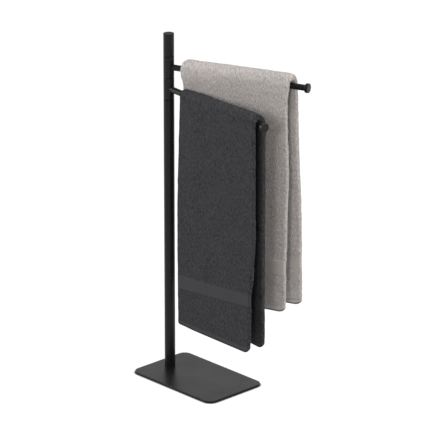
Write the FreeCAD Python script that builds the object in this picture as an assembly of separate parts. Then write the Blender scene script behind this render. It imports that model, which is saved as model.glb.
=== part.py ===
import FreeCAD, Part
import math
import os

# Freestanding towel stand: a flat base plate, an upright post near one end of it, and two arms on
# sleeves that turn about the post's axis, with a folded towel over each arm.
# Millimetres. The origin is on the floor under the middle of the base plate, +X runs along the
# plate's long side, away from the post, and +Z is up.

# ---- driving dimensions -------------------------------------------------------------------------
base_length = 300.0
base_width = 192.0
base_thickness = 5.0
base_corner_radius = 22.0
base_edge_radius = 1.5

sheet_thickness = 1.0  # anti-slip sheet under the plate
sheet_inset = 4.0

post_end_distance = 45.0  # from the post's axis to the plate's nearer short side
post_diameter = 28.0
post_wall = 1.5
overall_height = 925.0
top_section_length = 61.0  # from the upper washer to the top of the cap
cap_thickness = 3.0
cap_edge_radius = 1.0
cap_spigot_length = 10.0

sleeve_length = 57.0
sleeve_wall = 2.0
washer_thickness = 1.0
washer_inset = 0.5  # the washers lie this much inside the post's face, so the seams show

spindle_diameter = 12.0
spindle_seat_depth = 26.0  # how far it is pressed into the post's head plug
spindle_end = 3.0  # what stands above the clamp nut
bush_length = 15.0

foot_plug_length = 25.0
head_plug_length = 30.0
top_plug_length = 12.0
spring_washer_diameter = 20.0
spring_washer_thickness = 2.0
spring_washer_slit = 1.6
nut_across_flats = 18.0
nut_height = 8.0

post_screw_diameter = 8.0
post_screw_head = 16.0
post_screw_length = 22.0
post_screw_key = 5.0
post_screw_key_depth = 2.6

pin_diameter = 4.0
pin_offset = 8.8  # from the post's axis
pin_depth_in_plate = 2.5
pin_depth_in_plug = 7.0

arm_reach = 396.0  # from the post's axis to the face of the end knob
arm_diameter = 16.0
arm_wall = 1.5
knob_diameter = 25.0
knob_thickness = 8.5
knob_edge_radius = 1.2
knob_spigot_length = 14.0
root_plug_length = 22.0

arm_screw_diameter = 5.0
arm_screw_head = 9.5
arm_screw_head_height = 2.75
arm_screw_length = 16.0
arm_screw_key = 3.0
arm_screw_key_depth = 1.6

upper_arm_angle = 20.5  # degrees from +X, seen from above, turning left
lower_arm_angle = -5.5

towel_cloth = 4.5  # thickness of each hanging panel
towel_half_width = 24.0  # from the arm's axis to the outer face of the cloth
towel_pinched_half_width = 13.5  # the same where the two towels press together by the post
towel_pinch_end = 150.0  # from the post's axis to where the pinch has opened fully
towel_crown_lift = 5.0  # how much taller than round the fold over the arm is
towel_saddle_depth = 14.0  # how far the thick fold reaches below the arm's axis
towel_gap = 0.3  # clearance over the arm

upper_towel_start = 50.0  # from the post's axis
upper_towel_knob_gap = 38.5  # from its outer end to the knob
upper_towel_bottom = 230.0  # height of the hem above the floor
upper_towel_near_flare = 9.0  # how far the hem hangs outwards at the outer end
upper_towel_far_flare = 11.0

lower_towel_start = 68.0
lower_towel_knob_gap = 12.5
lower_towel_bottom = 165.0
lower_towel_near_flare = 10.0
lower_towel_far_flare = 0.0

# ---- clearances ---------------------------------------------------------------------------------
running_clearance = 0.05  # radial, bush on spindle
seat_clearance = 0.02  # radial, pieces pressed or screwed together
hole_clearance = 0.3  # radial, a screw or spindle through a plain hole

# ---- heights and radii that follow --------------------------------------------------------------
post_x = post_end_distance - base_length / 2
post_radius = post_diameter / 2
post_bore = post_radius - post_wall
sleeve_bore = post_radius - sleeve_wall
spindle_radius = spindle_diameter / 2
arm_radius = arm_diameter / 2
arm_bore = arm_radius - arm_wall
knob_back = arm_reach - knob_thickness
upper_towel_end = knob_back - upper_towel_knob_gap
lower_towel_end = knob_back - lower_towel_knob_gap

plate_bottom = sheet_thickness
plate_top = plate_bottom + base_thickness
upper_washer_z = overall_height - top_section_length - washer_thickness
upper_sleeve_z = upper_washer_z - sleeve_length
middle_washer_z = upper_sleeve_z - washer_thickness
lower_sleeve_z = middle_washer_z - sleeve_length
lower_washer_z = lower_sleeve_z - washer_thickness
top_section_z = upper_washer_z + washer_thickness
tube_top_z = overall_height - cap_thickness
spring_washer_z = top_section_z + top_plug_length
nut_z = spring_washer_z + spring_washer_thickness
spindle_bottom_z = lower_washer_z - spindle_seat_depth
spindle_top_z = nut_z + nut_height + spindle_end

UP = FreeCAD.Vector(0, 0, 1)
OUT = FreeCAD.Vector(1, 0, 0)
ORIGIN = FreeCAD.Vector(0, 0, 0)


# ---- helpers ------------------------------------------------------------------------------------
def rod(radius, z, length):
    """Upright cylinder on the post's axis, in the post's own frame."""
    return Part.makeCylinder(radius, length, FreeCAD.Vector(0, 0, z), UP)


def ring(outer, bore, z, length):
    """Upright tube on the post's axis."""
    through = length / 10 + 1
    return rod(outer, z, length).cut(rod(bore, z - through, length + 2 * through))


def crosswise(radius, x, length, z):
    """Cylinder along an arm, x from the post's axis, at height z."""
    return Part.makeCylinder(radius, length, FreeCAD.Vector(x, 0, z), OUT)


def hexagon(across_flats, height):
    """Hexagonal prism on the Z axis, standing on z = 0."""
    corner = across_flats / math.sqrt(3)
    points = [
        FreeCAD.Vector(corner * math.cos(k * math.pi / 3), corner * math.sin(k * math.pi / 3), 0)
        for k in range(7)
    ]
    return Part.Face(Part.makePolygon(points)).extrude(UP * height)


def rounded_plate(length, width, thickness, corner_radius, z):
    """Flat plate with round corners, centred on the origin."""
    box = Part.makeBox(length, width, thickness, FreeCAD.Vector(-length / 2, -width / 2, z))
    upright = [e for e in box.Edges if abs(e.Vertexes[0].Z - e.Vertexes[1].Z) > thickness / 2]
    return box.makeFillet(corner_radius, upright)


def top_rim(shape, z):
    """The edges that lie wholly at height z."""
    return [
        e
        for e in shape.Edges
        if abs(e.BoundBox.ZMin - z) < 1e-6 and abs(e.BoundBox.ZMax - z) < 1e-6
    ]


def rim_at(shape, x):
    """The edges that lie wholly at distance x along an arm."""
    return [
        e
        for e in shape.Edges
        if abs(e.BoundBox.XMin - x) < 1e-6 and abs(e.BoundBox.XMax - x) < 1e-6
    ]


def save(name, shape, angle=0.0):
    """Turns a piece about the post's axis, puts it on the post and writes it."""
    placed = shape.copy()
    placed.rotate(ORIGIN, UP, angle)
    placed.translate(FreeCAD.Vector(post_x, 0, 0))
    placed.exportStep(f"parts/{name}.step")


# ---- base ---------------------------------------------------------------------------------------
def countersunk_cone(clearance):
    """The post screw's head: widest at the plate's underside."""
    head, shank = post_screw_head / 2 + clearance, post_screw_diameter / 2 + clearance
    return Part.makeCone(head, shank, head - shank, FreeCAD.Vector(0, 0, plate_bottom), UP)


def base_plate():
    plate = rounded_plate(base_length, base_width, base_thickness, base_corner_radius, plate_bottom)
    plate = plate.makeFillet(base_edge_radius, top_rim(plate, plate_top))
    plate.translate(FreeCAD.Vector(-post_x, 0, 0))
    plate = plate.cut(rod(post_screw_diameter / 2 + hole_clearance, 0, plate_top + 1))
    plate = plate.cut(countersunk_cone(seat_clearance))
    pin_hole = rod(pin_diameter / 2 + seat_clearance, plate_top - pin_depth_in_plate, base_thickness)
    pin_hole.translate(OUT * pin_offset)
    return plate.cut(pin_hole)


def anti_slip_sheet():
    sheet = rounded_plate(
        base_length - 2 * sheet_inset,
        base_width - 2 * sheet_inset,
        sheet_thickness,
        base_corner_radius - sheet_inset,
        0,
    )
    sheet.translate(FreeCAD.Vector(-post_x, 0, 0))
    around_head = post_screw_head / 2 + sheet_inset / 2
    return sheet.cut(rod(around_head, -1, sheet_thickness + 2))


def post_screw():
    shank = rod(post_screw_diameter / 2, plate_bottom, post_screw_length)
    screw = shank.fuse(countersunk_cone(0)).removeSplitter()
    key = hexagon(post_screw_key, post_screw_key_depth + 1)
    key.translate(UP * (plate_bottom - 1))
    return screw.cut(key)


def anti_turn_pin():
    pin = rod(pin_diameter / 2, plate_top - pin_depth_in_plate, pin_depth_in_plate + pin_depth_in_plug)
    pin.translate(OUT * pin_offset)
    return pin


# ---- post ---------------------------------------------------------------------------------------
def post_foot_plug():
    plug = rod(post_bore - seat_clearance, plate_top, foot_plug_length)
    tip = plate_bottom + post_screw_length
    tapped = rod(post_screw_diameter / 2 + seat_clearance, plate_top - 1, tip - plate_top + 2)
    pin_hole = rod(pin_diameter / 2 + seat_clearance, plate_top - 1, pin_depth_in_plug + 1)
    pin_hole.translate(OUT * pin_offset)
    return plug.cut(tapped).cut(pin_hole)


def lower_post():
    return ring(post_radius, post_bore, plate_top, lower_washer_z - plate_top)


def post_head_plug():
    plug = rod(post_bore - seat_clearance, lower_washer_z - head_plug_length, head_plug_length)
    return plug.cut(rod(spindle_radius + seat_clearance, spindle_bottom_z, spindle_seat_depth + 1))


def spindle():
    bar = rod(spindle_radius, spindle_bottom_z, spindle_top_z - spindle_bottom_z)
    return bar.makeChamfer(1.0, top_rim(bar, spindle_top_z))


def seam_washer(z):
    return ring(post_radius - washer_inset, spindle_radius + hole_clearance, z, washer_thickness)


def top_tube():
    return ring(post_radius, post_bore, top_section_z, tube_top_z - top_section_z)


def top_plug():
    return ring(
        post_bore - seat_clearance, spindle_radius + hole_clearance, top_section_z, top_plug_length
    )


def spring_washer():
    washer = ring(
        spring_washer_diameter / 2,
        spindle_radius + hole_clearance,
        spring_washer_z,
        spring_washer_thickness,
    )
    slit = Part.makeBox(
        spring_washer_diameter,
        spring_washer_slit,
        2 * spring_washer_thickness,
        FreeCAD.Vector(0, -spring_washer_slit / 2, spring_washer_z - spring_washer_thickness / 2),
    )
    return washer.cut(slit)


def clamp_nut():
    nut = hexagon(nut_across_flats, nut_height)
    nut.translate(UP * nut_z)
    return nut.cut(rod(spindle_radius + seat_clearance, nut_z - 1, nut_height + 2))


def top_cap():
    disc = rod(post_radius, tube_top_z, cap_thickness)
    disc = disc.makeFillet(cap_edge_radius, top_rim(disc, overall_height))
    spigot = rod(post_bore - seat_clearance, tube_top_z - cap_spigot_length, cap_spigot_length)
    return disc.fuse(spigot).removeSplitter()


# ---- arms, each along +X in its own frame -------------------------------------------------------
def sleeve(sleeve_z):
    tube = ring(post_radius, sleeve_bore, sleeve_z, sleeve_length)
    hole = crosswise(arm_screw_diameter / 2 + hole_clearance, 0, post_diameter, arm_height(sleeve_z))
    return tube.cut(hole)


def arm_height(sleeve_z):
    """The arm leaves its sleeve at mid height."""
    return sleeve_z + sleeve_length / 2


def bush(z):
    return ring(sleeve_bore - seat_clearance, spindle_radius + running_clearance, z, bush_length)


def coped(shape):
    """Cuts the inner end of an arm piece to sit on its round sleeve."""
    return shape.cut(rod(post_radius + seat_clearance, 0, overall_height))


def arm_tube(z):
    return coped(crosswise(arm_radius, 0, knob_back, z).cut(crosswise(arm_bore, -1, knob_back + 2, z)))


def arm_root_plug(z):
    plug = crosswise(arm_bore - seat_clearance, 0, post_radius + root_plug_length, z)
    tapped_end = arm_screw_seat() + arm_screw_length + 2
    return coped(plug.cut(crosswise(arm_screw_diameter / 2 + seat_clearance, -1, tapped_end + 1, z)))


def arm_screw_seat():
    """Where the screw's flat head meets the round inside of the sleeve."""
    return math.sqrt(sleeve_bore**2 - (arm_screw_head / 2) ** 2) - seat_clearance


def arm_screw(z):
    seat = arm_screw_seat()
    head = crosswise(arm_screw_head / 2, seat - arm_screw_head_height, arm_screw_head_height, z)
    shank = crosswise(arm_screw_diameter / 2, seat, arm_screw_length, z)
    key = hexagon(arm_screw_key, arm_screw_key_depth + 1)
    key.rotate(ORIGIN, FreeCAD.Vector(0, 1, 0), 90)
    key.translate(FreeCAD.Vector(seat - arm_screw_head_height - 1, 0, z))
    return head.fuse(shank).removeSplitter().cut(key)


def arm_knob(z):
    disc = crosswise(knob_diameter / 2, knob_back, knob_thickness, z)
    disc = disc.makeFillet(knob_edge_radius, rim_at(disc, knob_back) + rim_at(disc, arm_reach))
    spigot_start = knob_back - knob_spigot_length
    spigot = crosswise(arm_bore - seat_clearance, spigot_start, knob_spigot_length, z)
    return disc.fuse(spigot).removeSplitter()


# ---- towels, each along +X in its arm's frame; near is -Y and far is +Y -------------------------
def saddle_section(x, near_half_width, far_half_width, z):
    """Outline of the thick fold over the arm at one distance from the post."""
    low, high = z - towel_saddle_depth, z + towel_crown_lift
    middle = (far_half_width - near_half_width) / 2
    crown_radius = (far_half_width + near_half_width) / 2
    near_low, near_high = FreeCAD.Vector(x, -near_half_width, low), FreeCAD.Vector(x, -near_half_width, high)
    far_low, far_high = FreeCAD.Vector(x, far_half_width, low), FreeCAD.Vector(x, far_half_width, high)
    crown = Part.Arc(near_high, FreeCAD.Vector(x, middle, high + crown_radius), far_high).toShape()
    return Part.Wire(
        [
            Part.makeLine(near_low, near_high),
            crown,
            Part.makeLine(far_high, far_low),
            Part.makeLine(far_low, near_low),
        ]
    )


def saddle(start, end, near_start, far_start, z):
    """The fold over the arm. near_start and far_start are its half widths at its end by the post."""
    opened = saddle_section(towel_pinch_end, towel_half_width, towel_half_width, z)
    pinched = Part.makeLoft([saddle_section(start, near_start, far_start, z), opened], True, True)
    full = Part.Face(opened).extrude(OUT * (end - towel_pinch_end))
    slot_radius = arm_radius + towel_gap
    slot = Part.makeBox(
        arm_reach,
        2 * slot_radius,
        2 * towel_saddle_depth,
        FreeCAD.Vector(0, -slot_radius, z - 2 * towel_saddle_depth),
    )
    return pinched.fuse(full).removeSplitter().cut(slot).cut(crosswise(slot_radius, 0, arm_reach, z))


def panel_outline(side, start, end, start_half_width, flare, z):
    """Plan of one hanging panel at height z, moved outwards by flare towards its outer end."""
    opened = flare * (towel_pinch_end - start) / (end - start)
    outer = [
        (start, start_half_width),
        (towel_pinch_end, towel_half_width + opened),
        (end, towel_half_width + flare),
    ]
    inner = [(x, y - towel_cloth) for x, y in reversed(outer)]
    points = [FreeCAD.Vector(x, side * y, z) for x, y in outer + inner]
    return Part.makePolygon(points + points[:1])


def panel(side, start, end, start_half_width, flare, bottom, z):
    """One hanging panel, from the hem up into the fold. side is -1 near and 1 far."""
    top = z - towel_saddle_depth / 2
    outlines = [
        panel_outline(side, start, end, start_half_width, flare, bottom),
        panel_outline(side, start, end, start_half_width, 0, top),
    ]
    return Part.makeLoft(outlines, True, True)


def towel(start, end, bottom, near_start, far_start, near_flare, far_flare, z):
    """A folded towel over an arm at height z: the fold and the panels that hang from it."""
    fold = saddle(start, end, near_start, far_start, z)
    near = panel(-1, start, end, near_start, near_flare, bottom, z)
    far = panel(1, start, end, far_start, far_flare, bottom, z)
    return fold.fuse([near, far]).removeSplitter()


def upper_towel(z):
    """Only its near side is pinched, where the lower arm and its towel press on it."""
    return towel(
        upper_towel_start,
        upper_towel_end,
        upper_towel_bottom,
        towel_pinched_half_width,
        towel_half_width,
        upper_towel_near_flare,
        upper_towel_far_flare,
        z,
    )


def lower_towel(z):
    return towel(
        lower_towel_start,
        lower_towel_end,
        lower_towel_bottom,
        towel_pinched_half_width,
        towel_pinched_half_width,
        lower_towel_near_flare,
        lower_towel_far_flare,
        z,
    )


# ---- build --------------------------------------------------------------------------------------
def build_stand():
    save("base_plate", base_plate())
    save("anti_slip_sheet", anti_slip_sheet())
    save("post_screw", post_screw())
    save("anti_turn_pin", anti_turn_pin())
    save("post_foot_plug", post_foot_plug())
    save("lower_post", lower_post())
    save("post_head_plug", post_head_plug())
    save("spindle", spindle())
    save("lower_washer", seam_washer(lower_washer_z))
    save("middle_washer", seam_washer(middle_washer_z))
    save("upper_washer", seam_washer(upper_washer_z))
    save("top_tube", top_tube())
    save("top_plug", top_plug())
    save("spring_washer", spring_washer())
    save("clamp_nut", clamp_nut())
    save("top_cap", top_cap())


def build_arm(name, sleeve_z, angle, make_towel):
    z = arm_height(sleeve_z)
    save(f"{name}_sleeve", sleeve(sleeve_z), angle)
    save(f"{name}_bottom_bush", bush(sleeve_z), angle)
    save(f"{name}_top_bush", bush(sleeve_z + sleeve_length - bush_length), angle)
    save(f"{name}_arm_tube", arm_tube(z), angle)
    save(f"{name}_root_plug", arm_root_plug(z), angle)
    save(f"{name}_arm_screw", arm_screw(z), angle)
    save(f"{name}_knob", arm_knob(z), angle)
    save(f"{name}_towel", make_towel(z), angle)


os.makedirs("parts", exist_ok=True)
build_stand()
build_arm("upper", upper_sleeve_z, upper_arm_angle, upper_towel)
build_arm("lower", lower_sleeve_z, lower_arm_angle, lower_towel)
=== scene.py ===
"""Looks of a freestanding towel stand: a steel plate and post, two swinging arms and a folded towel on each."""

import logging
import math
from dataclasses import dataclass
from enum import Enum

import bmesh
import bpy
import numpy as np
from bpy.types import Material, Mesh, Node, NodeSocket as Socket, NodeTree, Object, World
from mathutils import Matrix, Vector


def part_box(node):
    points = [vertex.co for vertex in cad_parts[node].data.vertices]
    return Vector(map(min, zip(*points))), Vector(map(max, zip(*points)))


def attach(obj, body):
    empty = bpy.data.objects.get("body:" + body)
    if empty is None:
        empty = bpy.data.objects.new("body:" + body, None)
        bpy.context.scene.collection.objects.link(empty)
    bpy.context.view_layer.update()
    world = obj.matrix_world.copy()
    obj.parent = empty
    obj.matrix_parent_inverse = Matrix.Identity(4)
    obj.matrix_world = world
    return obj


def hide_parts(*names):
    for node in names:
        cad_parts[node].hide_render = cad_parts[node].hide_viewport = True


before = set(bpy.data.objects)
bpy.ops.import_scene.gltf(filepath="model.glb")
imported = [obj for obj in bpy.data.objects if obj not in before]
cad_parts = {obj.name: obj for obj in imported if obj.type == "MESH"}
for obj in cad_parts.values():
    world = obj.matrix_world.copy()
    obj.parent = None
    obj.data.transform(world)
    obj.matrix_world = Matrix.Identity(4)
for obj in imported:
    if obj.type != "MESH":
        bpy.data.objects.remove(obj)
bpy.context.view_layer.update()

logging.basicConfig(level=logging.INFO, format="%(levelname)s %(name)s: %(message)s")
log = logging.getLogger("towel_stand")

MM = 0.001
SEED = 7
WHITE = (1.0, 1.0, 1.0, 1.0)

Array = np.ndarray
Colour = tuple[float, float, float]
Place = tuple[float, float, float]


class Side(Enum):
    """Which side of its arm a hanging panel is on."""

    NEAR = -1
    FAR = 1


class Arm(Enum):
    """The two arms, by the name of the body that they are."""

    UPPER = "upper_arm"
    LOWER = "lower_arm"

    @property
    def prefix(self) -> str:
        """Start of the names of this arm's nodes."""
        return self.value.split("_")[0]


def smooth(x: Array) -> Array:
    """Eased step: 0 below 0, 1 above 1 and a smooth rise between."""
    x = np.clip(x, 0.0, 1.0)
    return x * x * (3.0 - 2.0 * x)


def rounded(radius: float, share: Array, most: float) -> Array:
    """Rise of a round corner, at a share of the way into it that is kept to 0..most."""
    return radius * (1.0 - np.sqrt(1.0 - np.clip(share, 0.0, most) ** 2))


class Profile:
    """A size that changes smoothly along something, given at a few places."""

    def __init__(self, *points: tuple[float, float]) -> None:
        """Find the slopes of a monotone cubic.

        Args:
            points: each place and the size there.
        """
        self.x, self.y = np.array(points, float).T
        self.step = np.diff(self.x)
        rise = np.diff(self.y) / self.step
        self.slope = np.zeros_like(self.y)
        for k in range(1, len(self.x) - 1):
            if rise[k - 1] * rise[k] > 0:
                self.slope[k] = 2.0 * rise[k - 1] * rise[k] / (rise[k - 1] + rise[k])
        self.slope[0], self.slope[-1] = rise[0], rise[-1]

    def at(self, x: Array | float) -> Array:
        """Follow the cubic.

        Args:
            x: where the size is wanted.

        Returns:
            The size there, held constant beyond the end points.
        """
        x = np.clip(np.asarray(x, float), self.x[0], self.x[-1])
        k = np.clip(np.searchsorted(self.x, x, side="right") - 1, 0, len(self.step) - 1)
        t, step = (x - self.x[k]) / self.step[k], self.step[k]
        return (
            self.y[k] * (1 + 2 * t) * (1 - t) ** 2
            + self.slope[k] * step * t * (1 - t) ** 2
            + self.y[k + 1] * t * t * (3 - 2 * t)
            + self.slope[k + 1] * step * t * t * (t - 1)
        )


@dataclass(frozen=True)
class Steps:
    """Steps of a mesh along a length: the usual step, the fine one and how far the fine ones reach."""

    coarse: float
    fine: float
    reach: float
    samples: int = 6001

    def along(self, length: float, places: tuple[float, ...]) -> Array:
        """Steps from 0 to a length that are finer near some places.

        Args:
            length: where the steps end.
            places: where the steps are fine.

        Returns:
            The positions of the steps.
        """
        x = np.linspace(0.0, length, self.samples)
        near = np.zeros_like(x)
        for place in places:
            near = np.maximum(near, np.exp(-(((x - place) / self.reach) ** 2)))
        density = 1.0 / (self.coarse - (self.coarse - self.fine) * near)
        total = np.concatenate([[0.0], np.cumsum((density[1:] + density[:-1]) / 2 * np.diff(x))])
        return np.interp(np.linspace(0.0, total[-1], int(round(total[-1])) + 1), total, x)


class NodeSet:
    """A node tree that is filled one node at a time."""

    prefix: str
    tree: NodeTree

    def add(self, kind: str, links: dict | None = None, **settings: object) -> Node:
        """Add one node.

        Args:
            kind: the node's type, in full or without this tree's prefix.
            links: for each input, a value, the socket that feeds it or the node whose first output does.
            settings: the node's own properties.

        Returns:
            The new node.
        """
        node = self.tree.nodes.new(kind if "Node" in kind else self.prefix + kind)
        for key, value in settings.items():
            setattr(node, key, value)
        for key, value in (links or {}).items():
            value = value.outputs[0] if isinstance(value, Node) else value
            if isinstance(value, Socket):
                self.tree.links.new(value, node.inputs[key])
            else:
                node.inputs[key].default_value = value
        return node


# ---- finishes
class ShaderTree(NodeSet):
    """The nodes of a material or of the world."""

    prefix = "ShaderNode"

    def __init__(self, owner: Material | World, output: str = "OutputMaterial") -> None:
        """Start with the output node alone.

        Args:
            owner: the material or world.
            output: the type of its output node.
        """
        owner.use_nodes = True
        self.owner, self.tree = owner, owner.node_tree
        self.tree.nodes.clear()
        self.output = self.add(output)

    def place(self) -> Socket:
        """Where a point lies on its piece, in metres."""
        return self.add("TexCoord").outputs["Object"]

    def noise(self, vector: Socket, size: float, detail: float = 2.0, rough: float = 0.5, warp: float = 0.0) -> Socket:
        """Noise with features of about the given size, in metres, as a socket from 0 to 1."""
        links = {"Vector": vector, "Scale": 1.0 / size, "Detail": detail, "Roughness": rough, "Distortion": warp}
        return self.add("TexNoise", links).outputs["Fac"]

    def cells(self, vector: Socket, size: float) -> Socket:
        """Distance from the middle of cells of about the given size, in metres."""
        return self.add("TexVoronoi", {"Vector": vector, "Scale": 1.0 / size}).outputs["Distance"]

    def spread(self, x: Socket, low: float = 0.0, high: float = 1.0, start: float = 0.3, end: float = 0.7) -> Socket:
        """Map a socket's values from start..end to low..high."""
        links = {"Value": x, "From Min": start, "From Max": end, "To Min": low, "To Max": high}
        return self.add("MapRange", links).outputs["Result"]

    def blend(self, factor: Socket, first: Socket | Colour, second: Socket | Colour) -> Socket:
        """Mix two colours.

        Args:
            factor: how much of the second colour, from 0 to 1.
            first: the colour at 0.
            second: the colour at 1.

        Returns:
            The mixed colour.
        """
        links = {"Factor": factor}
        for number, colour in ((6, first), (7, second)):  # the node's colour inputs A and B
            links[number] = colour if isinstance(colour, Socket) else (*colour, 1.0)
        return self.add("Mix", links, data_type="RGBA").outputs[2]  # its colour output

    def combine(self, operation: str, first: Socket | float, second: Socket | float) -> Socket:
        """Apply a math operation to two sockets or numbers."""
        return self.add("Math", {0: first, 1: second}, operation=operation).outputs[0]

    def finish(self, shader: Node) -> Material | World:
        """Join the shader to the output and return the material or world."""
        self.tree.links.new(shader.outputs[0], self.output.inputs["Surface"])
        return self.owner

    def surface(self, height: Socket, strength: float, distance: float, inputs: dict) -> Material:
        """Finish the material as a surface with a relief.

        Args:
            height: the relief's height, from 0 to 1.
            strength: how much of the relief shows.
            distance: how deep it is, in metres.
            inputs: the shader's own inputs.

        Returns:
            The material.
        """
        relief = self.add("Bump", {"Height": height, "Strength": strength, "Distance": distance})
        return self.finish(self.add("BsdfPrincipled", {**inputs, "Normal": relief}))


@dataclass(frozen=True)
class Finish:
    """What every finish has: its material's name and a main colour."""

    name: str
    colour: Colour

    def tone(self, amount: float) -> Colour:
        """The main colour times an amount."""
        return tuple(channel * amount for channel in self.colour)

    def tree(self) -> ShaderTree:
        """The tree of a new material, with its output node alone."""
        return ShaderTree(bpy.data.materials.new(self.name))


@dataclass(frozen=True)
class PowderCoat(Finish):
    """Matt powder coat on steel, with its fine orange-peel grain."""

    name: str = "powder_coat_black"
    colour: Colour = (0.0047, 0.0045, 0.0053)
    uneven: float = 0.12
    speck: float = 1.7
    grain: float = 0.0011
    grain_height: float = 0.00004
    roughness: float = 0.35
    specular: float = 0.19
    cloud: float = 0.09

    def material(self) -> Material:
        """Build the coat's material.

        Returns:
            The material.
        """
        tree = self.tree()
        place = tree.place()
        cloudy = tree.noise(place, self.cloud, 3.0)
        specks = tree.noise(place, self.grain * 0.8, 1.0)
        peel = tree.noise(place, self.grain, 2.0, 0.6)
        base = tree.blend(tree.spread(cloudy), self.tone(1.0 - self.uneven), self.tone(1.0 + self.uneven))
        base = tree.blend(tree.spread(specks, 0.0, 0.35, 0.5, 0.8), base, self.tone(self.speck))
        inputs = {
            "Base Color": base,
            "Roughness": tree.spread(cloudy, self.roughness - 0.04, self.roughness + 0.05),
            "Specular IOR Level": self.specular,
        }
        return tree.surface(peel, 0.6, self.grain_height, inputs)


@dataclass(frozen=True)
class TurnedSteel(Finish):
    """Bare or plated steel with the fine rings that turning leaves."""

    roughness: float
    ring: float = 0.0004
    ring_height: float = 0.00003
    stain: float = 0.02
    stained: float = 0.78

    def material(self) -> Material:
        """Build the steel's material.

        Returns:
            The material.
        """
        tree = self.tree()
        place = tree.place()
        stretched = tree.add("Mapping", {"Vector": place, "Scale": (0.08, 0.08, 1.0)}).outputs[0]
        rings = tree.noise(stretched, self.ring, 2.0, 0.7)
        stains = tree.spread(tree.noise(place, self.stain, 3.0))
        inputs = {
            "Base Color": tree.blend(stains, self.colour, self.tone(self.stained)),
            "Metallic": 1.0,
            "Roughness": tree.spread(rings, self.roughness - 0.06, self.roughness + 0.08),
        }
        return tree.surface(rings, 0.4, self.ring_height, inputs)


@dataclass(frozen=True)
class Moulded(Finish):
    """Moulded plastic or rubber with a fine spark-eroded texture."""

    roughness: float
    texture: float
    specular: float = 0.4
    dust: float = 0.012
    dusty: float = 1.35
    depth: float = 0.06

    def material(self) -> Material:
        """Build the polymer's material.

        Returns:
            The material.
        """
        tree = self.tree()
        place = tree.place()
        pits = tree.cells(place, self.texture)
        dust = tree.noise(place, self.dust, 3.0)
        inputs = {
            "Base Color": tree.blend(tree.spread(dust), self.colour, self.tone(self.dusty)),
            "Roughness": tree.spread(dust, self.roughness - 0.05, self.roughness + 0.05),
            "Specular IOR Level": self.specular,
        }
        return tree.surface(pits, 0.5, self.texture * self.depth, inputs)


@dataclass(frozen=True)
class Terry(Finish):
    """Cotton terry: looped pile that leans this way and that, with a flat woven band and hem."""

    tint: Colour
    mottle: float
    sheen: float
    woven: float
    brushed: float
    loop: float = 0.0017
    lean: float = 0.0028
    patch: float = 0.055
    slant: Place = (0.0, 0.0, 0.5)
    stretch: Place = (1.0, 0.4, 1.0)
    root: float = 0.55
    # painted shade: share of the colour that the bottom edge of each hanging panel is darkened to, standing in for the
    # hem's shaded underside
    rim: float = 0.25
    worn: float = 1.15
    pile_height: float = 0.0011

    def material(self) -> Material:
        """Build the cloth's material from its own UV map, in metres, its weave attributes and its painted-shade rim.

        Returns:
            The material.
        """
        tree = self.tree()
        place = tree.add("UVMap", uv_map="cloth").outputs["UV"]
        band, hem, rim = (tree.add("Attribute", attribute_name=name).outputs["Fac"] for name in ("band", "hem", "rim"))
        slanted = tree.add("Mapping", {"Vector": place, "Rotation": self.slant, "Scale": self.stretch}).outputs[0]
        tufts = tree.noise(slanted, self.lean, 2.0, 0.6, 0.5)
        nap = tree.noise(slanted, self.lean * 2.3, 2.0, 0.55, 1.2)
        patches = tree.noise(place, self.patch, 3.0)
        loops = tree.cells(place, self.loop)
        flat = tree.combine("MAXIMUM", band, hem)
        pile = tree.combine("SUBTRACT", 1.0, flat)

        dark, light = self.tone(1.0 - self.mottle), self.tone(1.0 + self.mottle)
        colour = tree.blend(tree.spread(tufts, 0.0, 1.0, 0.32, 0.68), dark, light)
        colour = tree.blend(tree.spread(loops, 0.14, 0.0, 0.0, 0.55), colour, self.tone(self.root))
        colour = tree.blend(tree.spread(nap, 0.0, self.brushed, 0.45, 0.7), colour, light)
        colour = tree.blend(tree.spread(patches, 0.0, 0.35), colour, self.tint)
        plain, bleached = self.tone(self.woven), self.tone(self.woven * self.worn)
        colour = tree.blend(flat, colour, tree.blend(tree.spread(patches), plain, bleached))
        # painted shade: darken the hem's bottom edge where the rim mask is set
        colour = tree.blend(rim, colour, self.tone(self.rim))

        height = tree.combine("ADD", tree.combine("MULTIPLY", tufts, 3.2), tree.combine("MULTIPLY", nap, 2.6))
        height = tree.combine("SUBTRACT", height, tree.combine("MULTIPLY", loops, 0.5))
        height = tree.combine("MULTIPLY", height, pile)
        inputs = {
            "Base Color": colour,
            "Roughness": tree.spread(flat, 0.95, 0.78, 0.0, 1.0),
            "Sheen Weight": self.sheen,
            "Sheen Roughness": 0.55,
            "Sheen Tint": (*self.tint, 1.0),
            "Specular IOR Level": 0.12,
        }
        return tree.surface(height, 0.85, self.pile_height, inputs)


@dataclass(frozen=True)
class Thread(Finish):
    """Sewing thread or corded weft, a shade apart from the pile."""

    twist: float = 0.0009
    uneven: float = 0.2
    strand_height: float = 0.0002

    def material(self) -> Material:
        """Build the thread's material.

        Returns:
            The material.
        """
        tree = self.tree()
        strands = tree.noise(tree.place(), self.twist, 2.0, 0.7)
        low, high = self.tone(1.0 - self.uneven), self.tone(1.0 + self.uneven)
        inputs = {
            "Base Color": tree.blend(tree.spread(strands), low, high),
            "Roughness": 0.8,
            "Sheen Weight": 0.08,
            "Specular IOR Level": 0.1,
        }
        return tree.surface(strands, 0.6, self.strand_height, inputs)


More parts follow.
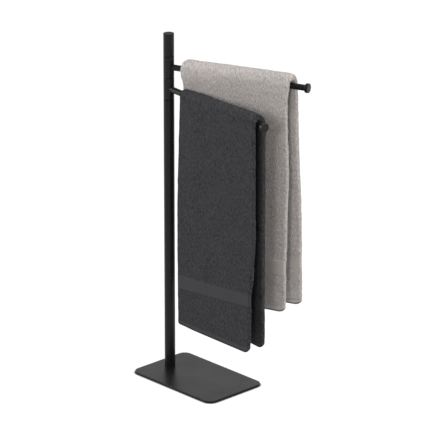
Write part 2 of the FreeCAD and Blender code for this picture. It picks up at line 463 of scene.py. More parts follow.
# ---- repeated work made by Geometry Nodes
class NodeRecipe(NodeSet):
    """A Geometry Nodes tree with named inputs, run once on a mesh and turned into a plain mesh."""

    prefix = "GeometryNode"

    def __init__(self, name: str, sizes: dict[str, float]) -> None:
        """Start a tree with a geometry input and output.

        Args:
            name: the tree's name.
            sizes: its named inputs and their usual values, in metres.
        """
        self.tree = bpy.data.node_groups.new(name, "GeometryNodeTree")
        self.sizes = sizes
        for way in ("INPUT", "OUTPUT"):
            self.tree.interface.new_socket("Geometry", in_out=way, socket_type="NodeSocketGeometry")
        for size, value in sizes.items():
            socket = self.tree.interface.new_socket(size, in_out="INPUT", socket_type="NodeSocketFloat")
            socket.default_value = value
        self.entry = self.add("NodeGroupInput")
        self.exit = self.add("NodeGroupOutput")

    def given(self, name: str) -> Socket:
        """The socket of a named input."""
        return self.entry.outputs[name]

    def close(self, geometry: Node, material: Material) -> None:
        """Realize what the tree made and give it its material.

        Args:
            geometry: the node that made it.
            material: the material for all of it.
        """
        real = self.add("RealizeInstances", {0: geometry})
        dressed = self.add("SetMaterial", {"Geometry": real, "Material": material})
        self.tree.links.new(dressed.outputs[0], self.exit.inputs[0])

    def run(self, name: str, start: Mesh, **sizes: float) -> Object:
        """Run the tree on a mesh.

        Args:
            name: the new piece's name.
            start: the mesh that the tree works on.
            sizes: values for named inputs that aren't their usual ones, in metres.

        Returns:
            An object at the origin with the result as a plain mesh.
        """
        work = bpy.data.objects.new(name + "_work", start)
        bpy.context.scene.collection.objects.link(work)
        modifier = work.modifiers.new("recipe", "NODES")
        modifier.node_group = self.tree
        values = {**self.sizes, **sizes}
        for item in self.tree.interface.items_tree:
            if item.name in values:
                modifier[item.identifier] = values[item.name]
        graph = bpy.context.evaluated_depsgraph_get()
        result = bpy.data.meshes.new_from_object(work.evaluated_get(graph))
        bpy.data.objects.remove(work)
        result.name = name
        piece = bpy.data.objects.new(name, result)
        bpy.context.scene.collection.objects.link(piece)
        return piece


class Stitching(NodeRecipe):
    """Short stitches set one after another along seams that lie on the cloth."""

    def __init__(self, material: Material) -> None:
        """Build the tree.

        Args:
            material: the thread's.
        """
        super().__init__("stitching", {"Pitch": 0.0042, "Stitch Length": 0.0031, "Thread Radius": 0.0004})
        seam = self.add("MeshToCurve", {0: self.given("Geometry")})
        dots = self.add("ResampleCurve", {"Curve": seam, "Length": self.given("Pitch")}, mode="LENGTH")
        turn = self.add("FunctionNodeAlignEulerToVector", {"Vector": self.add("InputTangent")}, axis="X")
        half = self.add("ShaderNodeMath", {0: self.given("Stitch Length"), 1: 0.5}, operation="MULTIPLY")
        thread = self.given("Thread Radius")
        shape = self.add("ShaderNodeCombineXYZ", {"X": half, "Y": thread, "Z": thread})
        bead = self.add("SetShadeSmooth", {0: self.add("MeshUVSphere", {"Segments": 8, "Rings": 5, "Radius": 1.0})})
        links = {"Points": dots, "Instance": bead, "Rotation": turn, "Scale": shape}
        self.close(self.add("InstanceOnPoints", links), material)


class Cording(NodeRecipe):
    """Raised weft cords that run across the flat woven band."""

    def __init__(self, material: Material) -> None:
        """Build the tree.

        Args:
            material: the cords'.
        """
        super().__init__("cording", {"Cord Radius": 0.0006})
        line = self.add("MeshToCurve", {0: self.given("Geometry")})
        ring = self.add("CurvePrimitiveCircle", {"Resolution": 6, "Radius": 1.0})
        radius = self.given("Cord Radius")
        scale = self.add("ShaderNodeCombineXYZ", {"X": radius, "Y": radius, "Z": 1.0})
        sized = self.add("Transform", {0: ring, "Scale": scale})
        tube = self.add("CurveToMesh", {0: line, 1: sized, "Fill Caps": True})
        self.close(self.add("SetShadeSmooth", {0: tube}), material)


class Turning(NodeRecipe):
    """A turned part: a closed section swept round the post's axis."""

    def __init__(self, material: Material) -> None:
        """Build the tree.

        Args:
            material: the finish of the parts.
        """
        super().__init__("turning", {"Radius": 0.014})
        section = self.add("MeshToCurve", {0: self.given("Geometry")})
        circle = self.add("CurvePrimitiveCircle", {"Resolution": 96, "Radius": self.given("Radius")})
        self.close(self.add("CurveToMesh", {0: circle, 1: section}), material)


def polylines(name: str, lines: list[Array]) -> Mesh:
    """A mesh of open lines.

    Args:
        name: the mesh's name.
        lines: the points of each line, in metres.

    Returns:
        The mesh, with edges only.
    """
    vertices, edges = [], []
    for line in lines:
        first = len(vertices)
        vertices += map(tuple, line)
        edges += [(k, k + 1) for k in range(first, first + len(line) - 1)]
    mesh = bpy.data.meshes.new(name)
    mesh.from_pydata(vertices, edges, [])
    return mesh


# ---- towels
@dataclass(frozen=True)
class PanelShape:
    """How one hanging panel lies, in mm. Each profile runs with the depth below the arm's axis."""

    at_start: Profile  # from the arm's axis to the outer face, at the selvedge by the post
    opened: Profile  # the same where the pinch by the post has opened
    at_fold: Profile  # the same at the lengthwise fold
    start: Profile  # where the selvedge runs, from the post's axis
    tip: Profile  # where the lengthwise fold runs
    hem: float  # height of the hem above the floor
    band_tilt: float = 0.0  # how much the woven band rises towards the fold
    hem_rise: float = 0.0  # how much the hem rises towards the fold


@dataclass
class Spots:
    """Where points of the cloth lie along the arm, in mm from the post's axis."""

    r: Array  # of each row and column
    start: Array  # of each row's selvedge
    tip: Array  # of each row's fold

    def past(self, reach: float | Array) -> Array:
        """Eased step from 0 at the selvedge to 1 a reach further out."""
        return smooth((self.r - self.start) / reach)


@dataclass
class DrapedTowel:
    """A terry towel, folded once along its length and hung over an arm. Sizes in mm."""

    arm: Arm
    angle: float  # of the arm, in degrees from +X, turning left
    near: PanelShape
    far: PanelShape
    crown: Profile  # top of the towel above the arm's axis, along the arm
    finish: Terry
    thread: Thread
    slot: str
    flat: tuple[float, float] = (610.0, 1280.0)
    seed: int = SEED

    # how it lies on the arm and folds
    shoulder: float = 3.0  # height of the panels' top above the arm's axis
    arm_gap: float = 8.35  # from the arm's axis to the cloth
    crown_pull: float = 1.0
    pinch_open: float = 150.0
    fold_radius: float = 3.9
    fold_loft: float = 130.0  # over which the layers part towards the fold
    fold_inset: float = 8.0
    layer_gap: float = 0.4
    least_gap: float = 0.15
    inner_inset: float = 4.0
    hug_gap: float = 1.6
    hug_depth: float = 60.0  # over which the inner layer leaves the arm

    # the cloth and its pile
    cloth: float = 4.8
    thinnest: float = 2.2
    pinched_cloth: float = 4.8
    pinch_reach: float = 45.0
    pinch_top: float = 10.0
    pinch_depth: float = 60.0
    pile: float = 0.30
    flat_share: float = 0.85  # of the pile that the flat weave lacks
    rim_share: float = 0.42  # how far the rim stands out, of the cloth's thickness

    # slow waves of the hanging cloth
    wave: float = 0.4
    wave_lengths: tuple[float, ...] = (330.0, 240.0, 165.0, 120.0)
    wave_heading: float = 0.9
    wave_fall: float = 1.2
    far_stretch: float = 1.07
    still_along: float = 70.0
    still_depth: float = 80.0

    # selvedge, hem and woven band
    edge_width: float = 7.0
    edge_thinning: float = 1.5
    hem_line: float = 12.0
    hem_thinning: float = 1.3
    groove_width: float = 1.6
    groove_depth: float = 1.0
    band_low: float = 100.0
    band_high: float = 138.0
    band_thinning: float = 1.8
    weave_step: float = 3.0  # over which the pile turns into flat weave
    cords: int = 7
    stitch_lift: float = 0.1
    cord_lift: float = -0.15

    # corners and the rise of hem and band
    hem_corner: float = 26.0
    corner_lead: float = 0.55
    corner_most: float = 0.995
    corner_top: float = 75.0
    behind_share: float = 0.9
    behind_width: float = 95.0
    behind_power: float = 1.6
    selvedge_corner: float = 6.0
    selvedge_most: float = 0.98
    selvedge_top: float = 22.0
    hem_rise_top: float = 200.0
    tilt_margin: float = 12.0
    tilt_top: float = 260.0

    # steps of the mesh
    row_steps: Steps = Steps(5.8, 1.7, 7.0)
    column_steps: Steps = Steps(5.6, 2.4, 9.0)
    folded_width: float = 300.0
    turn_rows: int = 25
    bend_columns: int = 13

    def __post_init__(self) -> None:
        """Take the arm's place from the CAD frame."""
        self.node = self.arm.prefix + "_towel"
        low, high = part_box("lower_post")
        self.post = np.array([(low.x + high.x) / 2, (low.y + high.y) / 2]) / MM
        low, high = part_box(self.arm.prefix + "_knob")
        self.axis_z = (low.z + high.z) / 2 / MM
        self._lay_rows()
        self._lay_columns()

    def _lay_rows(self) -> None:
        """Rows across the towel, as columns of values: up the near panel, over the arm and down the far panel."""
        places = (0.0, self.hem_line, self.band_low, self.band_high)
        near_drop, far_drop = (self.axis_z + self.shoulder - panel.hem for panel in (self.near, self.far))
        near, far = (self.row_steps.along(drop, places) for drop in (near_drop, far_drop))
        turn = np.linspace(0.0, math.pi, self.turn_rows + 2)[1:-1]
        over = np.zeros(len(turn))
        parts = (
            (np.full(len(near), Side.NEAR.value), over, np.full(len(far), Side.FAR.value)),
            (near, over, far[::-1]),
            (near_drop - near, over, (far_drop - far)[::-1]),
            (np.zeros(len(near)), turn, np.full(len(far), math.pi)),
        )
        self.side, self.rise, self.depth, self.turn = (np.concatenate(part)[:, None] for part in parts)
        hangs = self.side != 0
        up, down = (self._above(place - self.weave_step / 2) for place in (self.band_low, self.band_high))
        self.band = np.where(hangs, up - down, 0.0)
        self.hem = np.where(hangs, 1.0 - smooth((self.rise - self.hem_line + 1.0) / 2.0), 0.0)
        # rim: the lowest rows of each hanging panel, where the cloth's material paints a shade line along the hem's
        # bottom edge
        self.rim = np.where(hangs, 1.0 - self._above(self.weave_step / 2), 0.0)
        self.groove = np.where(hangs, np.exp(-(((self.rise - self.hem_line) / self.groove_width) ** 2)), 0.0)

    def _above(self, start: float) -> Array:
        """0 on the rows below a height and 1 on those a weave's step above it."""
        return smooth((self.rise - start) / self.weave_step)

    def _lay_columns(self) -> None:
        """Columns along the towel: the outer layer, round the fold and back along the inner layer."""
        across = self.column_steps.along(self.folded_width, (0.0,)) / self.folded_width
        bend = np.linspace(0.0, math.pi, self.bend_columns)
        self.reach = np.concatenate([across, np.ones(len(bend) - 2), across[::-1]])
        self.bend = np.concatenate([np.zeros(len(across)), bend[1:-1], np.full(len(across), math.pi)])
        self.outer_columns = len(across)

    def _between(self, near: Profile, far: Profile) -> Array:
        """The near profile on the near panel, the far one on the far panel, eased between over the arm."""
        share = (1.0 - np.cos(self.turn)) / 2.0
        return near.at(self.depth) * (1.0 - share) + far.at(self.depth) * share

    def _half_width(self, panel: PanelShape, spots: Spots) -> Array:
        """Distance from the arm's axis to a panel's outer face.

        Args:
            panel: the panel.
            spots: where the points lie.

        Returns:
            The distance of each point.
        """
        first, opened, last = (shape.at(self.depth) for shape in (panel.at_start, panel.opened, panel.at_fold))
        spread = np.clip((spots.r - self.pinch_open) / (spots.tip - self.pinch_open), 0.0, 1.1)
        return first + (opened - first) * spots.past(self.pinch_open - spots.start) + (last - opened) * spread

    def _thickness(self, spots: Spots) -> Array:
        """Thickness of the cloth, squashed where it is pinched and thin at its edges, hem and band.

        Args:
            spots: where the points lie.

        Returns:
            The thickness at each point.
        """
        hung = smooth((self.depth - self.pinch_top) / self.pinch_depth)
        pinch = (1.0 - spots.past(self.pinch_reach)) * (1.0 - hung)
        edge = 1.0 - spots.past(self.edge_width)
        weave = self.band_thinning * self.band + self.hem_thinning * self.hem + self.groove_depth * self.groove
        cloth = self.cloth - (self.cloth - self.pinched_cloth) * pinch - self.edge_thinning * edge
        return np.maximum(cloth - weave, self.thinnest)

    def _layers(self, spots: Spots) -> tuple[Array, Array, Array]:
        """Middles of the two layers.

        Args:
            spots: where the points lie.

        Returns:
            Outer layer, inner layer (each as sideways and upward distance from the arm's axis) and the thickness.
        """
        cloth = self._thickness(spots)
        near, far = (self._half_width(panel, spots) for panel in (self.near, self.far))
        face = np.where(self.turn < math.pi / 2, near, far)
        spacing = cloth + self.layer_gap
        loft = smooth((spots.r - (spots.tip - self.fold_loft)) / self.fold_loft)
        spacing = spacing + np.maximum(2.0 * self.fold_radius - spacing, 0.0) * loft
        outer_n = face - cloth / 2
        hug = np.minimum(self.arm_gap + cloth / 2 + self.hug_gap, outer_n - (cloth + self.least_gap))
        inner_n = hug + (outer_n - spacing - hug) * smooth(self.depth / self.hug_depth)
        top_inner = self.arm_gap + cloth / 2
        top_outer = np.maximum(self.crown.at(spots.r) - cloth / 2, top_inner + cloth + self.least_gap)
        level, up, out = self.shoulder - self.depth, np.sin(self.turn), -np.cos(self.turn)
        outer, inner = (
            np.stack([sideways * out, level + (top - self.shoulder) * up], -1)
            for sideways, top in ((outer_n, top_outer), (inner_n, top_inner))
        )
        return outer, inner, cloth

    def _waves(self, spots: Spots) -> Array:
        """Slow undulation of the hanging cloth, still where the towels touch.

        Args:
            spots: where the points lie.

        Returns:
            How far each point is moved outwards.
        """
        rng = np.random.default_rng(self.seed)
        depth = self.depth * np.where(self.side < 0, 1.0, self.far_stretch)
        total = np.zeros_like(spots.r)
        for length in self.wave_lengths:
            heading, phase = rng.uniform(-self.wave_heading, self.wave_heading), rng.uniform(0, 2 * math.pi)
            run = depth * math.cos(heading) + spots.r * math.sin(heading)
            total += np.sin(2 * math.pi * run / length + phase) * (length / self.wave_lengths[0]) ** self.wave_fall
        return total * self.wave * spots.past(self.still_along) * smooth(self.depth / self.still_depth)

    def _surface(self) -> tuple[Array, Array, Array]:
        """Lay the middle of the cloth.

        Returns:
            Its points in the arm's frame, its normals and its thickness.
        """
        start = self._between(self.near.start, self.far.start)
        tip = self._between(self.near.tip, self.far.tip)
        outer, inner, _ = self._layers(Spots(tip - self.fold_inset, start, tip))
        tip = tip - self.crown_pull * np.sin(self.turn)
        radius = np.linalg.norm(outer - inner, axis=-1) / 2.0
        inset = np.where(self.bend > math.pi / 2, self.inner_inset, 0.0)
        begin = start + inset * (self.reach < 1.0)
        spots = Spots(begin + self.reach * (tip - radius - begin), start, tip)
        outer, inner, cloth = self._layers(spots)
        spots.r = spots.r + np.sin(self.bend) * radius
        middle = (outer + inner) / 2 + (outer - inner) / 2 * np.cos(self.bend)[:, None]
        sideways = middle[..., 0] + self.side * self._waves(spots)
        place = np.stack([spots.r, sideways, middle[..., 1] + self._lift(spots)], -1)
        normal = np.cross(np.gradient(place, axis=1), np.gradient(place, axis=0))
        normal /= np.linalg.norm(normal, axis=-1, keepdims=True)
        return place, normal, cloth

    def _lift(self, spots: Spots) -> Array:
        """How far the rounded corners and the rise of the hem and band raise each point.

        Args:
            spots: where the points lie.

        Returns:
            The lift of each point.
        """
        near = self.side < 0
        bend = np.where(near, self.bend, math.pi - self.bend)
        lead = self.corner_lead * self.hem_corner
        along = np.where(bend <= 0.0, spots.r - (spots.tip - self.fold_radius), self.fold_radius * bend)
        front = rounded(self.hem_corner, (along + lead) / (lead + self.fold_radius * math.pi), self.corner_most)
        inwards = (spots.r - (spots.tip - self.behind_width)) / (self.behind_width - self.fold_radius)
        behind = self.behind_share * self.hem_corner * np.clip(inwards, 0.0, 1.0) ** self.behind_power
        lift = np.where(bend >= math.pi, behind, front) * (1.0 - smooth(self.rise / self.corner_top))
        share = (spots.start + self.selvedge_corner - spots.r) / self.selvedge_corner
        corner = rounded(self.selvedge_corner, share, self.selvedge_most)
        lift += corner * (1.0 - smooth(self.rise / self.selvedge_top))
        across = (spots.r - spots.start) / (spots.tip - spots.start)
        hem_rise = np.where(near, self.near.hem_rise, self.far.hem_rise)
        lift += hem_rise * across * (1.0 - smooth(self.rise / self.hem_rise_top))
        tilt = np.where(near, self.near.band_tilt, self.far.band_tilt)
        over = 1.0 - smooth((self.rise - self.band_high - self.tilt_margin) / self.tilt_top)
        lift += tilt * across * smooth(self.rise / self.band_low) * over
        return np.where(self.side == 0, 0.0, lift)

    def _world(self, place: Array) -> Array:
        """Turn points of the arm's frame into the row frame.

        Args:
            place: distance from the post, sideways distance and height of each point, in mm.

        Returns:
            The points in metres.
        """
        turn = math.radians(self.angle)
        r, n, h = place[..., 0], place[..., 1], place[..., 2]
        x = self.post[0] + r * math.cos(turn) - n * math.sin(turn)
        y = self.post[1] + r * math.sin(turn) + n * math.cos(turn)
        return np.stack([x, y, self.axis_z + h], -1) * MM

    def _pile(self, shape: tuple[int, int]) -> Array:
        """Uneven height of the pile, eased over a few cells.

        Args:
            shape: how many rows and columns.

        Returns:
            The height for every row and column.
        """
        rough = np.random.default_rng(self.seed + 1).normal(size=shape)
        for axis in (0, 1):
            rough = (np.roll(rough, 1, axis) + 2 * rough + np.roll(rough, -1, axis)) / 4
        return np.clip(rough / rough.std(), -2.0, 2.0) * self.pile

    def build(self) -> Object:
        """Build the cloth as one closed mesh of two skins joined round its edges.

        Returns:
            The towel's object, at the origin.
        """
        place, normal, cloth = self._surface()
        rows, columns = cloth.shape
        pile = self._pile(cloth.shape) * (1.0 - self.flat_share * np.maximum(self.band, self.hem))
        outside = place + normal * (cloth / 2 + pile)[..., None]
        inside = place - normal * (cloth / 2)[..., None]
        loop = (
            [(0, j) for j in range(columns)]
            + [(i, columns - 1) for i in range(1, rows)]
            + [(rows - 1, j) for j in range(columns - 2, -1, -1)]
            + [(i, 0) for i in range(rows - 2, 0, -1)]
        )
        rim = []
        for i, j in loop:
            away = place[i, j] - place[min(max(i, 1), rows - 2), min(max(j, 1), columns - 2)]
            away /= np.linalg.norm(away)
            rim.append(place[i, j] + away * cloth[i, j] * self.rim_share)
        vertices = self._world(np.concatenate([outside.reshape(-1, 3), inside.reshape(-1, 3), np.array(rim)]))
        count = rows * columns
        faces = []
        for i in range(rows - 1):
            for j in range(columns - 1):
                a, d = i * columns + j, (i + 1) * columns + j
                faces += [(a, d, d + 1, a + 1), (count + a, count + a + 1, count + d + 1, count + d)]
        border = [i * columns + j for i, j in loop]
        for k, a in enumerate(border):
            n = (k + 1) % len(border)
            b, c, d = border[n], 2 * count + n, 2 * count + k
            faces += [(a, b, c, d), (d, c, count + b, count + a)]
        mesh = bpy.data.meshes.new(self.node + "_terry")
        mesh.from_pydata(vertices.tolist(), [], faces)
        self._weave(mesh, place, loop)
        piece = bpy.data.objects.new(mesh.name, mesh)
        bpy.context.scene.collection.objects.link(piece)
        mesh.shade_smooth()
        mesh.materials.append(self.finish.material())
        self.skin, self.skin_normal = outside, normal
        log.info("%s: %d faces, %d rows by %d columns", piece.name, len(faces), rows, columns)
        return piece

    def _weave(self, mesh: Mesh, place: Array, loop: list[tuple[int, int]]) -> None:
        """Give the mesh its UV map, in metres of cloth, its band and hem attributes and its painted-shade rim
        attribute.

        Args:
            mesh: the cloth's mesh: outer skin, inner skin, then the rim.
            place: the middle of the cloth, in mm.
            loop: row and column of each point of the rim.
        """
        rows, columns = place.shape[:2]
        along = np.linalg.norm(np.diff(place[rows // 3], axis=0), axis=1)
        down = np.linalg.norm(np.diff(place[:, self.outer_columns // 2], axis=0), axis=1)
        u, v = (np.concatenate([[0.0], np.cumsum(steps)]) * MM for steps in (along, down))
        grid_u, grid_v = (grid.ravel() for grid in np.meshgrid(u, v))
        flat_u = np.concatenate([grid_u, grid_u + 1.0, [u[j] for _, j in loop]])
        flat_v = np.concatenate([grid_v, grid_v, [v[i] for i, _ in loop]])
        corner = np.zeros(len(mesh.loops), int)
        mesh.loops.foreach_get("vertex_index", corner)
        layer = mesh.uv_layers.new(name="cloth")
        layer.data.foreach_set("uv", np.stack([flat_u[corner], flat_v[corner]], -1).ravel())
        for name, of_rows in (("band", self.band), ("hem", self.hem), ("rim", self.rim)):
            grid = np.repeat(of_rows, columns)
            attribute = mesh.attributes.new(name, "FLOAT", "POINT")
            attribute.data.foreach_set("value", np.concatenate([grid, grid, [of_rows[i, 0] for i, _ in loop]]))

    def _line(self, side: Side, rise: float, lift: float) -> Array:
        """A line across a panel, lifted off its skin, on the row nearest to a rise above the hem."""
        row = int(np.argmin(np.where(self.side == side.value, np.abs(self.rise - rise), np.inf)))
        return self._world(self.skin[row, 1:-1] + self.skin_normal[row, 1:-1] * lift)

    def trim(self) -> list[Object]:
        """Make the hem stitches and the band's cords.

        Returns:
            The two new pieces.
        """
        thread = self.thread.material()
        seams = [self._line(side, self.hem_line, self.stitch_lift) for side in Side]
        rises = np.linspace(self.band_low + self.weave_step, self.band_high - self.weave_step, self.cords)
        cords = [self._line(side, rise, self.cord_lift) for side in Side for rise in rises]
        return [
            Stitching(thread).run(self.node + "_stitches", polylines("seams", seams)),
            Cording(thread).run(self.node + "_cords", polylines("cords", cords)),
        ]

    def hang(self) -> None:
        """Build and dress the towel and its trim, and put it on its arm."""
        towel = self.build()
        trim = self.trim()
        for piece in [towel, *trim]:
            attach(piece, self.arm.value)
        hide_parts(self.node)
        log.info("%s hung on %s", towel.name, self.arm.value)


# ---- stand
@dataclass(frozen=True)
class TurnedTube:
    """One length of the post's tube, with softened rims where it meets a seam. Sizes in mm."""

    node: str
    body: str
    soft_low: float
    soft_high: float
    wall: float = 1.5

    def section(self, low: float, high: float) -> list[Array]:
        """The tube's wall as a closed line, ready to be swept.

        Args:
            low: height of its lower end in metres.
            high: height of its upper end in metres.

        Returns:
            One closed line, across the radius and down the height.
        """
        turn = np.linspace(0.0, math.pi / 2, 5)
        points = [(-self.wall * MM, high), (-self.wall * MM, low)]
        soft = self.soft_low * MM
        points += [(-soft + soft * math.sin(t), low + soft - soft * math.cos(t)) for t in turn]
        soft = self.soft_high * MM
        points += [(-soft + soft * math.cos(t), high - soft + soft * math.sin(t)) for t in turn]
        return [np.array([(x, -z, 0.0) for x, z in [*points, points[0]]])]

    def build(self, turning: Turning) -> Object:
        """Turn the tube, set it in the CAD node's place and let it stand for that node.

        Args:
            turning: the recipe that sweeps the section.

        Returns:
            The tube's object.
        """
        low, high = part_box(self.node)
        start = polylines("section", self.section(low.z, high.z))
        tube = turning.run(self.node + "_turned", start, Radius=(high.y - low.y) / 2)
        mesh = tube.data
        mesh.transform(Matrix.Translation(((low.x + high.x) / 2, (low.y + high.y) / 2, 0.0)))
        work = bmesh.new()
        work.from_mesh(mesh)
        bmesh.ops.remove_doubles(work, verts=work.verts, dist=1e-7)
        bmesh.ops.recalc_face_normals(work, faces=work.faces)
        work.to_mesh(mesh)
        work.free()
        mesh.shade_smooth()
        mesh.set_sharp_from_angle(angle=math.radians(40))
        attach(tube, self.body)
        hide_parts(self.node)
        log.info("%s: %d faces", tube.name, len(mesh.polygons))
        return tube


@dataclass
class Stand:
    """The plate, the post and the arms: CAD nodes that keep their shape and get their finishes."""

    finishes: tuple[tuple[str, Finish], ...] = (  # by slot, or by node where one differs from its slot
        ("powder_coat", PowderCoat()),
        ("bright_steel", TurnedSteel("bright_steel", (0.56, 0.56, 0.55), 0.30)),
        ("zinc_steel", TurnedSteel("zinc_steel", (0.62, 0.64, 0.66), 0.38)),
        # black_nylon: real black nylon washers and bushes, with colour and specular pushed darker than nylon to paint
        # the shade in the post's seams
        ("black_nylon", Moulded("black_nylon", (0.0006, 0.0006, 0.0006), 0.6, 0.0007, 0.01)),
        ("anti_slip", Moulded("anti_slip_rubber", (0.012, 0.012, 0.012), 0.85, 0.0012)),
        ("top_cap", Moulded("cap_black", (0.0064, 0.0062, 0.0068), 0.5, 0.0009, 0.10)),
    )
    tubes: tuple[TurnedTube, ...] = (
        TurnedTube("lower_post", "stand", 0.0, 0.8),
        TurnedTube("lower_sleeve", "lower_arm", 1.6, 0.8, 2.0),
        TurnedTube("upper_sleeve", "upper_arm", 1.6, 0.8, 2.0),
        TurnedTube("top_tube", "stand", 1.45, 0.0),
    )

    def dress(self) -> None:
        """Give each CAD node the finish of its material slot, and turn the post's tubes."""
        finishes = {slot: finish.material() for slot, finish in self.finishes}
        for name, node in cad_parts.items():
            slot = node.data.materials[0].name.split(".")[0]
            finish = finishes.get(name) or finishes.get(slot)
            if finish:
                node.data.materials[0] = finish
                log.info("%s: %s", name, finish.name)
        turning = Turning(finishes["powder_coat"])
        for tube in self.tubes:
            tube.build(turning)


# ---- studio
def look(thing: Object, place: Place, aim: Place) -> None:
    """Put a lamp or camera in its place and turn it to what it looks at.

    Args:
        thing: the lamp or camera.
        place: where it stands.
        aim: what it looks at.
    """
    bpy.context.scene.collection.objects.link(thing)
    thing.location = place
    thing.rotation_euler = (Vector(aim) - Vector(place)).to_track_quat("-Z", "Y").to_euler()


@dataclass(frozen=True)
class SoftBox:
    """A square area light."""

    name: str
    place: Place
    aim: Place
    size: float
    power: float

    def build(self) -> None:
        """Add the light to the scene."""
        data = bpy.data.lights.new(self.name, "AREA")
        data.size, data.energy = self.size, self.power
        look(bpy.data.objects.new(self.name, data), self.place, self.aim)


@dataclass
class Studio:
    """A white sweep, soft light from all round and the camera."""

    eye: Place = (6.90229, -6.47483, 3.99380)
    target: Place = (-0.02351, 0.08603, 0.42884)
    lens: float = 327.98
    sensor: float = 36.0
    bright_side: Place = (-0.38, 0.76, 0.50)
    dim: float = 0.05
    bright: float = 1.08
    boxes: tuple[SoftBox, ...] = (
        SoftBox("top_light", (2.4, 0.0, 6.2), (0.0, 0.0, 0.4), 3.2, 268.0),
        SoftBox("key_light", (-2.1, -2.4, 1.7), (0.0, 0.0, 0.45), 1.3, 77.0),
        SoftBox("front_light", (2.2, -3.1, 2.0), (0.0, 0.0, 0.45), 0.6, 56.0),
        SoftBox("side_light", (3.0, 0.6, 1.0), (0.0, 0.0, 0.45), 1.0, 15.0),
    )
    floor_size: float = 30.0
    floor_paint: Colour = (0.12, 0.12, 0.12)
    floor_glow: float = 0.89
    shadow_reach: float = 0.02  # how far the soft shadow under the plate goes, in metres
    shadow_dark: float = 0.66
    shadow_light: float = 0.88

    def build(self) -> None:
        """Build the camera, the lights, the world and the floor."""
        scene = bpy.context.scene
        scene.view_settings.view_transform = "Standard"
        data = bpy.data.cameras.new("camera")
        data.lens, data.sensor_width, data.clip_end = self.lens, self.sensor, 100.0
        scene.camera = bpy.data.objects.new("camera", data)
        look(scene.camera, self.eye, self.target)
        for box in self.boxes:
            box.build()
        scene.world = self._sky()
        self._floor()
        log.info("studio: camera, %d lights and floor", len(self.boxes))

    def _sky(self) -> World:
        """Light from all round, brighter on one side.

        Returns:
            The world.
        """
        sky = ShaderTree(bpy.data.worlds.new("studio"), "OutputWorld")
        way = sky.add("TexCoord").outputs["Generated"]
        along = sky.add("VectorMath", {0: way, 1: self.bright_side}, operation="DOT_PRODUCT").outputs["Value"]
        level = sky.spread(along, self.dim, self.bright, -1.0, 1.0)
        return sky.finish(sky.add("Background", {"Color": WHITE, "Strength": level}))

    def _floor(self) -> None:
        """A wide white floor that hardly takes a shadow, but has a painted contact shadow where its glow is dimmed
        near the plate.
        """
        size = self.floor_size
        mesh = bpy.data.meshes.new("floor")
        mesh.from_pydata([(-size, -size, 0), (size, -size, 0), (size, size, 0), (-size, size, 0)], [], [(0, 1, 2, 3)])
        tree = ShaderTree(bpy.data.materials.new("floor_white"))
        paint = tree.add("BsdfDiffuse", {"Color": (*self.floor_paint, 1.0)})
        # painted contact shadow: ambient occlusion dims the floor's glow next to the plate
        near = tree.add("AmbientOcclusion", {"Distance": self.shadow_reach}, samples=16).outputs["AO"]
        strength = tree.spread(near, 0.0, self.floor_glow, self.shadow_dark, self.shadow_light)
        glow = tree.add("Emission", {"Color": WHITE, "Strength": strength})
        mesh.materials.append(tree.finish(tree.add("AddShader", {0: paint, 1: glow})))
        floor = bpy.data.objects.new("floor", mesh)
        bpy.context.scene.collection.objects.link(floor)


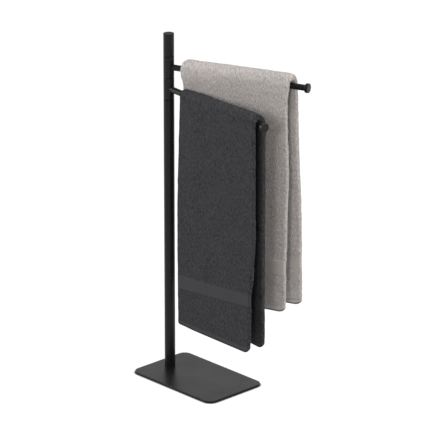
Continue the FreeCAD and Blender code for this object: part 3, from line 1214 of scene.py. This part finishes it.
def upper_towel() -> DrapedTowel:
    """The light towel on the upper arm, pushed in by the post where the lower towel presses on it.

    Returns:
        The towel, ready to be hung.
    """
    near = PanelShape(
        at_start=Profile((0, 24), (12, 23.0), (42, 14.2), (60, 13.6), (600, 13.6)),
        opened=Profile((0, 24), (600, 27)),
        at_fold=Profile((0, 24), (600, 33)),
        start=Profile((0, 45.5), (15, 46.2), (45, 49.0), (600, 49.5)),
        tip=Profile(
            (0, 346.5), (42, 342.5), (83, 342.5), (166, 345.5), (250, 348.3),
            (333, 346.8), (426, 346.2), (509, 344.6), (600, 345.3),
        ),
        hem=229.0,
    )
    far = PanelShape(
        at_start=Profile((0, 24), (600, 26)),
        opened=Profile((0, 24), (600, 29)),
        at_fold=Profile((0, 24), (600, 35)),
        start=Profile((0, 45.5), (600, 47)),
        tip=Profile((0, 353.5), (100, 355.6), (180, 357.7), (260, 360.4), (330, 363.2), (450, 365), (600, 365.4)),
        hem=233.0,
    )
    return DrapedTowel(
        arm=Arm.UPPER,
        angle=20.5,
        near=near,
        far=far,
        crown=Profile((45, 21), (49, 24.5), (54, 27.2), (62, 28), (100, 28), (150, 29.3), (350, 32.8)),
        finish=Terry(
            "terry_taupe", (0.308, 0.288, 0.273), (0.386, 0.353, 0.341),
            mottle=0.37, sheen=0.20, woven=1.0, brushed=0.12,
        ),
        thread=Thread("thread_taupe", (0.315, 0.293, 0.278)),
        slot="taupe_terry",
    )


def lower_towel() -> DrapedTowel:
    """The dark towel on the lower arm, pinched on both sides by the post.

    Returns:
        The towel, ready to be hung.
    """
    near = PanelShape(
        at_start=Profile((0, 16), (340, 24), (620, 22)),
        opened=Profile((0, 24.5), (340, 26), (620, 27)),
        at_fold=Profile((0, 24.5), (311, 24.5), (352, 25.7), (408, 27.7), (458, 29.8), (478, 32), (620, 33.6)),
        start=Profile((0, 67.5), (340, 65), (620, 64.5)),
        tip=Profile(
            (0, 373.6), (70, 374.4), (150, 376), (311, 376.2), (408, 375),
            (436, 375), (458, 374), (478, 372), (620, 371),
        ),
        hem=151.0,
        hem_rise=18.5,
        band_tilt=36.0,
    )
    far = PanelShape(
        at_start=Profile((0, 15.3), (620, 15.3)),
        opened=Profile((0, 24), (620, 24)),
        at_fold=Profile((0, 24), (620, 24)),
        start=Profile((0, 67.5), (620, 67.5)),
        tip=Profile((0, 370), (620, 370)),
        hem=170.5,
    )
    return DrapedTowel(
        arm=Arm.LOWER,
        angle=-5.5,
        near=near,
        far=far,
        crown=Profile(
            (68, 15.4), (79, 16.2), (100, 17.8), (130, 18.8), (165, 18.9),
            (195, 19.8), (235, 22.2), (275, 25), (320, 26.5), (370, 28),
        ),
        finish=Terry(
            "terry_charcoal", (0.0215, 0.0215, 0.0232), (0.0368, 0.0368, 0.0403),
            mottle=0.92, sheen=0.22, woven=1.33, brushed=0.50,
        ),
        thread=Thread("thread_charcoal", (0.026, 0.026, 0.0277)),
        slot="charcoal_terry",
        pinched_cloth=3.4,
        crown_pull=3.5,
        seed=SEED + 10,
    )


def main() -> None:
    """Build the studio, dress the stand and hang the towels."""
    Studio().build()
    Stand().dress()
    for towel in (upper_towel(), lower_towel()):
        towel.hang()


if __name__ == "__main__":
    main()
